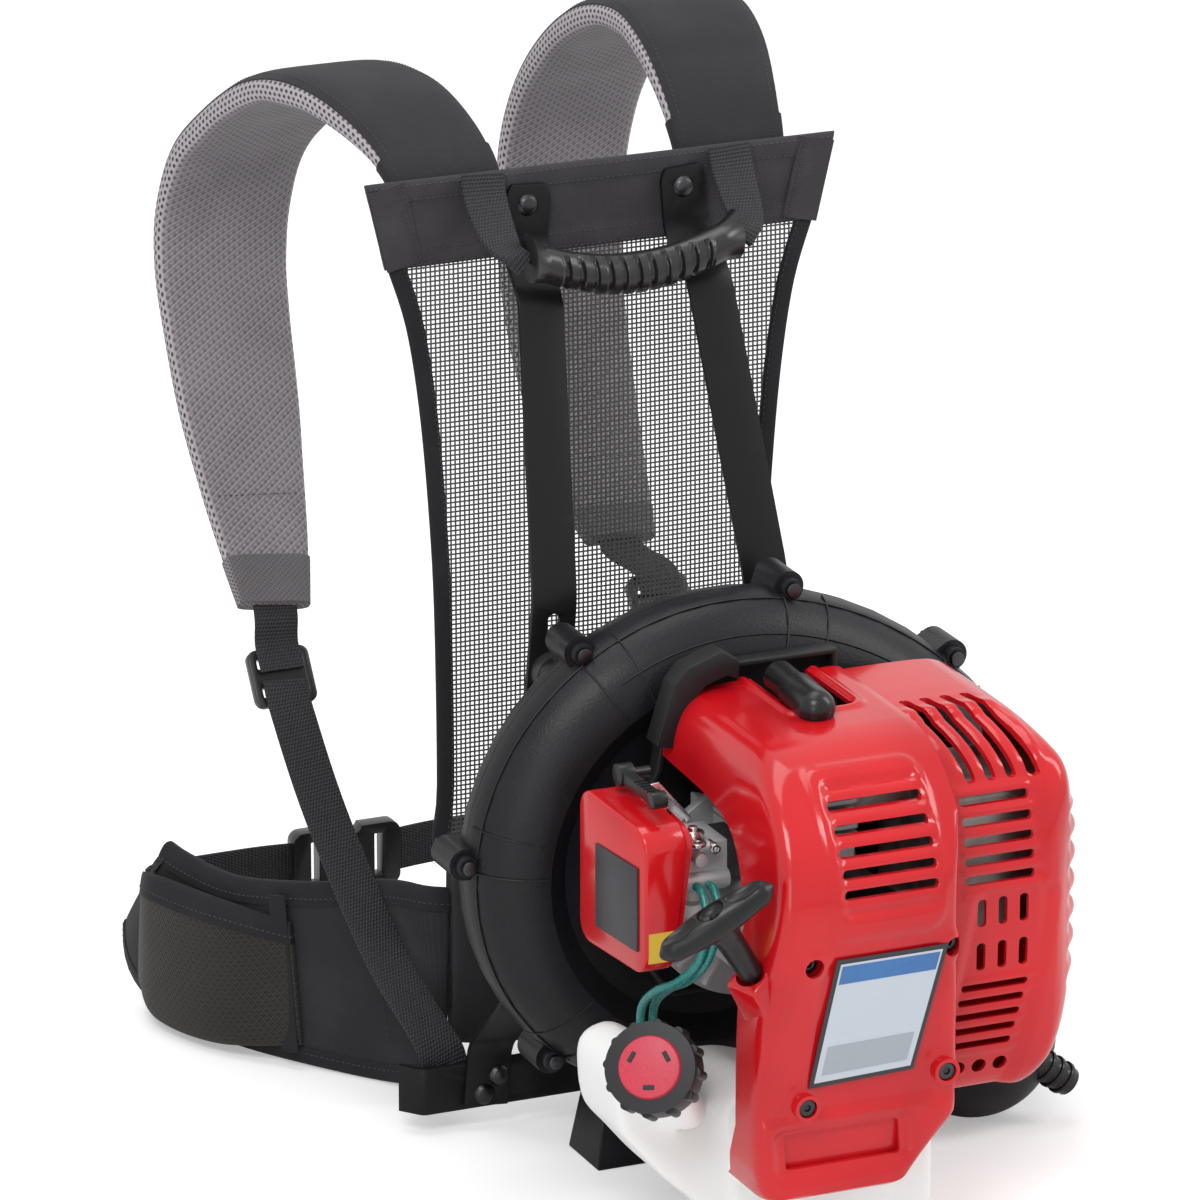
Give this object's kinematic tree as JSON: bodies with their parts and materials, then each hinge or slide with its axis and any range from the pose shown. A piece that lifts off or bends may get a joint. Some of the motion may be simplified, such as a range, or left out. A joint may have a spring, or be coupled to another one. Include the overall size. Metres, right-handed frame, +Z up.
{
  "type": "backpack leaf blower",
  "caption": "Two-stroke backpack leaf blower: padded harness on a steel strap frame, scroll fan housing, covered engine, recoil starter, air filter and fuel tank.",
  "frame": {"origin": "middle of the footprint, on the ground", "axes": "+X to the wearer's right, +Y towards the wearer (out of the back panel), +Z up"},
  "size_m": [0.423, 0.5947, 0.5725],
  "materials": {
    "painted_steel": "satin black powder coat",
    "steel_fastener": "zinc plated",
    "band_nylon": "woven nylon",
    "net": "open knitted mesh",
    "belt_nylon": "nylon over foam",
    "pocket_mesh": "fine mesh",
    "webbing": "woven webbing",
    "pad_mesh": "spacer mesh over foam",
    "buckle_plastic": "satin acetal",
    "grip_rubber": "ribbed",
    "housing_plastic": "fine grained",
    "mount_rubber": "plain",
    "fan_nylon": "glass filled nylon",
    "shaft_steel": "ground",
    "cast_alloy": "as cast",
    "coil_black": "potted",
    "plug_body": "glazed",
    "boot_rubber": "plain",
    "lever_steel": "bright",
    "bulb": "clear soft",
    "knob_plastic": "fine grained",
    "foam": "open cell foam",
    "cover_red": "gloss",
    "muffler_steel": "heat stained",
    "shroud_plastic": "fine grained",
    "spring_steel": "blued",
    "tank_plastic": "translucent white",
    "cap_plastic": "knurled",
    "line_green": "clear green"
  },
  "bodies": {
    "frame": {"frame_strap_left": "painted_steel", "frame_strap_right": "painted_steel", "base_crossbar": "painted_steel", "frame_rivets": "steel_fastener", "housing_screws": "steel_fastener", "cover_screws": "steel_fastener", "top_band": "band_nylon", "mesh_binding": "band_nylon", "mesh_panel": "net", "lumbar_pad": "belt_nylon", "hip_wing_left": "belt_nylon", "hip_wing_right": "belt_nylon", "belt_pocket_left": "pocket_mesh", "belt_pocket_right": "pocket_mesh", "waist_webbing": "webbing", "upper_webbing_left": "webbing", "upper_webbing_right": "webbing", "lower_webbing_left": "webbing", "lower_webbing_right": "webbing", "shoulder_pad_left": "pad_mesh", "shoulder_pad_right": "pad_mesh", "waist_buckle": "buckle_plastic", "adjuster_left": "buckle_plastic", "adjuster_right": "buckle_plastic", "volute_front_shell": "housing_plastic", "volute_back_shell": "housing_plastic", "inlet_grille": "housing_plastic", "outlet_elbow": "housing_plastic", "housing_feet": "housing_plastic", "isolators": "mount_rubber", "crank_bearings": "shaft_steel", "crankcase": "cast_alloy", "engine_cylinder": "cast_alloy", "carburetor": "cast_alloy", "ignition_module": "coil_black", "insulator_block": "coil_black", "spark_plug": "plug_body", "plug_boot": "boot_rubber", "filter_base": "knob_plastic", "starter_housing": "knob_plastic", "filter_foam": "foam", "filter_cover": "cover_red", "engine_cover": "cover_red", "muffler_cover": "cover_red", "muffler": "muffler_steel", "engine_shroud": "shroud_plastic", "recoil_spring": "spring_steel", "fuel_tank": "tank_plastic", "fuel_lines": "line_green"},
    "carry_handle": {"carry_grip": "grip_rubber", "handle_webbing": "webbing"},
    "rotor": {"fan": "fan_nylon", "crankshaft": "shaft_steel", "flywheel": "cast_alloy"},
    "pull_handle": {"starter_handle": "knob_plastic"},
    "pulley": {"starter_pulley": "knob_plastic"},
    "tank_cap": {"fuel_cap": "cap_plastic"},
    "throttle": {"throttle_lever": "lever_steel"},
    "choke": {"choke_lever": "knob_plastic"},
    "primer": {"primer_bulb": "bulb"}
  },
  "joints": [
    {"name": "carry_handle_swing", "type": "hinge", "parent": "frame", "child": "carry_handle", "pos_m": [-0.017, 0.0252, 0.515], "axis": [-1, 0, 0], "range_deg": [0, 130]},
    {"name": "rotor_spin", "type": "hinge", "parent": "frame", "child": "rotor", "pos_m": [-0.013, -0.117, 0.176], "axis": [0, 1, 0], "continuous": true},
    {"name": "starter_pull", "type": "slide", "parent": "frame", "child": "pull_handle", "axis": [-0.5487, -0.2106, 0.809], "range_m": [0, 0.6], "stiffness_N_per_m": 20, "springref_m": -0.3},
    {"name": "pulley_spin", "type": "hinge", "parent": "frame", "child": "pulley", "pos_m": [-0.013, -0.247, 0.176], "axis": [0, 1, 0], "range_deg": [-1020, 5]},
    {"name": "cap_turn", "type": "hinge", "parent": "frame", "child": "tank_cap", "pos_m": [-0.116, -0.257, 0.128], "axis": [-0.5486, -0.7021, 0.454], "range_deg": [0, 540]},
    {"name": "throttle_turn", "type": "hinge", "parent": "frame", "child": "throttle", "pos_m": [-0.069, -0.204, 0.229], "axis": [0, 0, 1], "range_deg": [0, 70], "stiffness_Nm_per_rad": 0.02, "springref_deg": -20.05},
    {"name": "choke_turn", "type": "hinge", "parent": "frame", "child": "choke", "pos_m": [-0.085, -0.176, 0.2645], "axis": [-1, 0, 0], "range_deg": [0, 60]},
    {"name": "primer_press", "type": "slide", "parent": "frame", "child": "primer", "axis": [0, 0, 1], "range_m": [0, 0.003], "stiffness_N_per_m": 600}
  ],
  "couplings": [
    {"joint": "pulley_spin", "follows": "starter_pull", "rad_per_m": -29.412}
  ]
}
